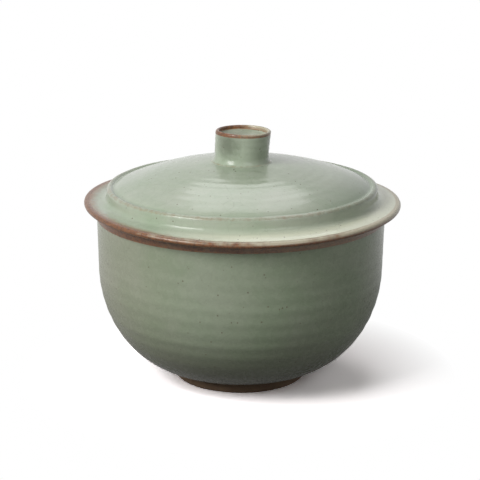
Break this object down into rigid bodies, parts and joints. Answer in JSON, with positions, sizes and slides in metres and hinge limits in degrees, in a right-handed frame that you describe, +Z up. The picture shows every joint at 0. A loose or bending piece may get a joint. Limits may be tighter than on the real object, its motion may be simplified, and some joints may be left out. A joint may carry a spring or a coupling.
{
  "type": "lidded donburi bowl",
  "caption": "Round wheel-thrown donburi bowl with a domed, wide-brimmed lid that lifts off by its knob; grey-green glaze, iron-brown rims, bare clay foot.",
  "frame": {"origin": "on the table, in the middle of the foot ring", "axes": "+Z up along the axis of the bowl, +X and +Y level; the part is round, so every side is a front"},
  "size_m": [0.1542, 0.1542, 0.1228],
  "materials": {
    "bowl_glaze": "grey-green celadon glaze, glossy",
    "lid_glaze": "grey-green celadon glaze, glossy",
    "iron_rim": "iron-brown glaze, satin",
    "bare_clay": "unglazed stoneware, matt"
  },
  "bodies": {
    "bowl": {"bowl_body": "bowl_glaze", "foot_ring": "bare_clay", "bowl_rim": "iron_rim"},
    "lid": {"lid_shell": "lid_glaze", "lid_seat_ring": "bare_clay", "lid_rim": "iron_rim", "lid_knob": "lid_glaze", "knob_rim": "iron_rim"}
  },
  "joints": [
    {"name": "lid_lift", "type": "slide", "parent": "bowl", "child": "lid", "axis": [0, 0, 1], "range_m": [0, 0.1]}
  ]
}
